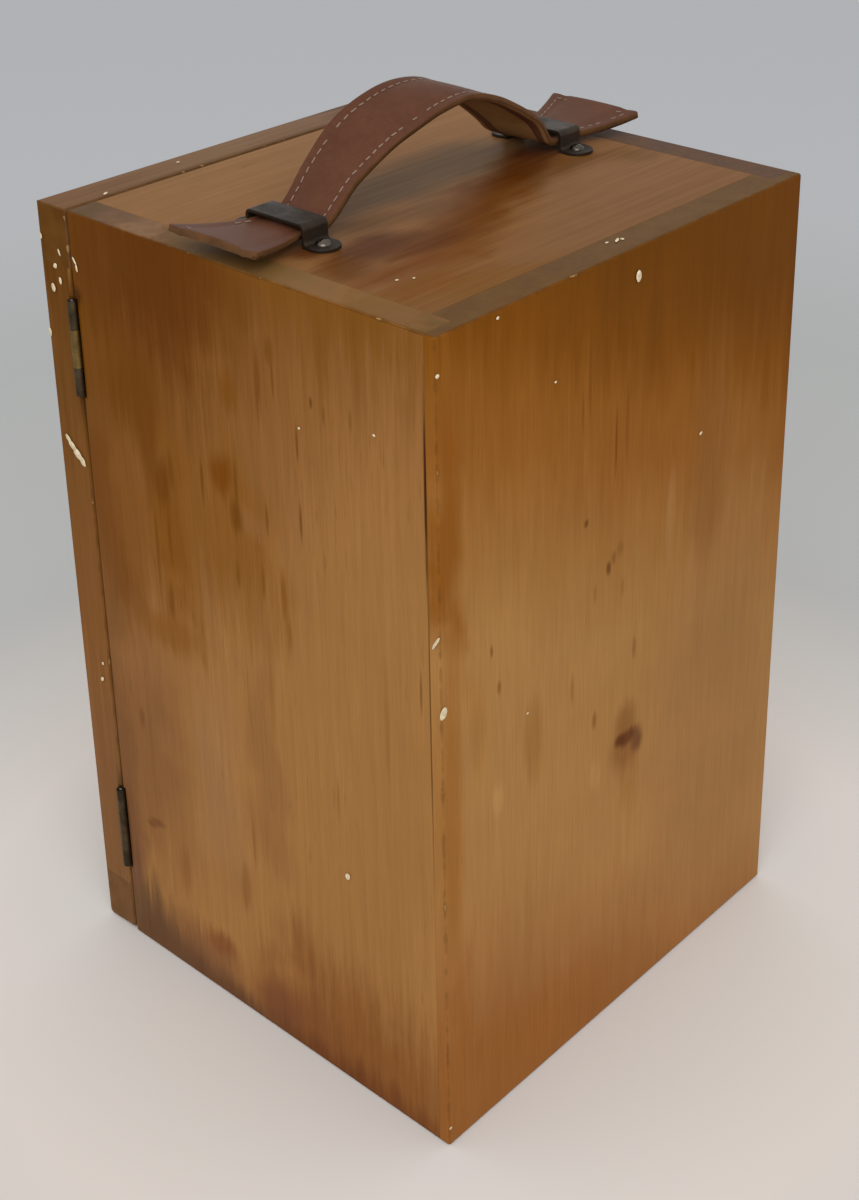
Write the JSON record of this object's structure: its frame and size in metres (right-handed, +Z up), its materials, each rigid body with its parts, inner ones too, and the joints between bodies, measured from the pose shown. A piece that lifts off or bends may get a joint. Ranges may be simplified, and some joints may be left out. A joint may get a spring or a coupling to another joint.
{
  "type": "microscope case",
  "caption": "Upright wooden carrying case for a microscope, with a full-height hinged door, swing hooks, a slotted base holder and a stitched leather strap handle on top.",
  "frame": {"origin": "centre of the base, on the surface that the case stands on", "axes": "+Z up, -Y the door's front, +Y the back, +X the hinge side, -X the latch side"},
  "size_m": [0.2203, 0.207, 0.3778],
  "materials": {
    "side_wood": "worn varnish",
    "back_wood": "worn varnish",
    "top_wood": "worn varnish",
    "floor_wood": "bare",
    "door_wood": "worn varnish",
    "door_cleat_wood": "worn varnish",
    "fitting_wood": "satin varnish",
    "hinge_brass": "dull and dirty",
    "hinge_pin_steel": "dull",
    "screw_brass": "dull",
    "latch_brass": "dull",
    "loop_metal": "dark bronzed, worn",
    "loop_screw_steel": "polished by wear",
    "strap_leather": "worn, dark brown",
    "strap_lining_leather": "worn, tan",
    "felt": "felt"
  },
  "bodies": {
    "case": {"side_panel_hinge_side": "side_wood", "side_panel_latch_side": "side_wood", "back_panel": "back_wood", "top_panel": "top_wood", "floor_panel": "floor_wood", "upper_hinge_case_leaf": "hinge_brass", "upper_hinge_pin": "hinge_pin_steel", "lower_hinge_case_leaf": "hinge_brass", "lower_hinge_pin": "hinge_pin_steel", "hinge_screws_case": "screw_brass", "handle_loop_hinge_side": "loop_metal", "handle_loop_latch_side": "loop_metal", "handle_loop_screws": "loop_screw_steel", "hook_washers": "latch_brass", "hook_pivot_screws": "latch_brass", "foot_rail_hinge_side": "fitting_wood", "foot_rail_latch_side": "fitting_wood", "foot_stop": "fitting_wood", "fitting_screws": "screw_brass", "eyepiece_rack": "fitting_wood", "rack_bracket_front": "fitting_wood", "rack_bracket_rear": "fitting_wood", "rack_screws": "screw_brass"},
    "door": {"door_board": "door_wood", "door_top_cleat": "door_cleat_wood", "door_bottom_cleat": "door_cleat_wood", "upper_hinge_door_leaf": "hinge_brass", "lower_hinge_door_leaf": "hinge_brass", "hinge_screws_door": "screw_brass", "hook_studs": "latch_brass", "door_block": "fitting_wood", "door_block_pad": "felt", "door_block_screws": "screw_brass"},
    "handle_grip": {"strap_arch_outer": "strap_leather", "strap_arch_lining": "strap_lining_leather"},
    "strap_end_hinge_side": {"strap_end_outer_hinge_side": "strap_leather", "strap_end_lining_hinge_side": "strap_lining_leather"},
    "strap_end_latch_side": {"strap_end_outer_latch_side": "strap_leather", "strap_end_lining_latch_side": "strap_lining_leather"},
    "upper_hook": {"upper_hook": "latch_brass"},
    "lower_hook": {"lower_hook": "latch_brass"}
  },
  "joints": [
    {"name": "door_hinge", "type": "hinge", "parent": "case", "child": "door", "pos_m": [0.1071, -0.085, 0.17], "axis": [0, 0, 1], "range_deg": [0, 180]},
    {"name": "handle_press", "type": "slide", "parent": "case", "child": "handle_grip", "axis": [0, 0, -1], "range_m": [0, 0.018], "stiffness_N_per_m": 800, "springref_m": -0.0005, "deforming": ["strap_arch_outer", "strap_arch_lining"]},
    {"name": "strap_slide_hinge_side", "type": "slide", "parent": "handle_grip", "child": "strap_end_hinge_side", "axis": [0.3846, 0, 0.9231], "range_m": [0, 0.0195]},
    {"name": "strap_slide_latch_side", "type": "slide", "parent": "handle_grip", "child": "strap_end_latch_side", "axis": [-0.3846, 0, 0.9231], "range_m": [0, 0.0195]},
    {"name": "upper_hook_swing", "type": "hinge", "parent": "case", "child": "upper_hook", "pos_m": [-0.1083, -0.0705, 0.27], "axis": [1, 0, 0], "range_deg": [0, 270]},
    {"name": "lower_hook_swing", "type": "hinge", "parent": "case", "child": "lower_hook", "pos_m": [-0.1083, -0.0705, 0.07], "axis": [1, 0, 0], "range_deg": [0, 270]}
  ],
  "couplings": [
    {"joint": "strap_slide_hinge_side", "follows": "handle_press", "ratio": 1.0833},
    {"joint": "strap_slide_latch_side", "follows": "handle_press", "ratio": 1.0833}
  ]
}
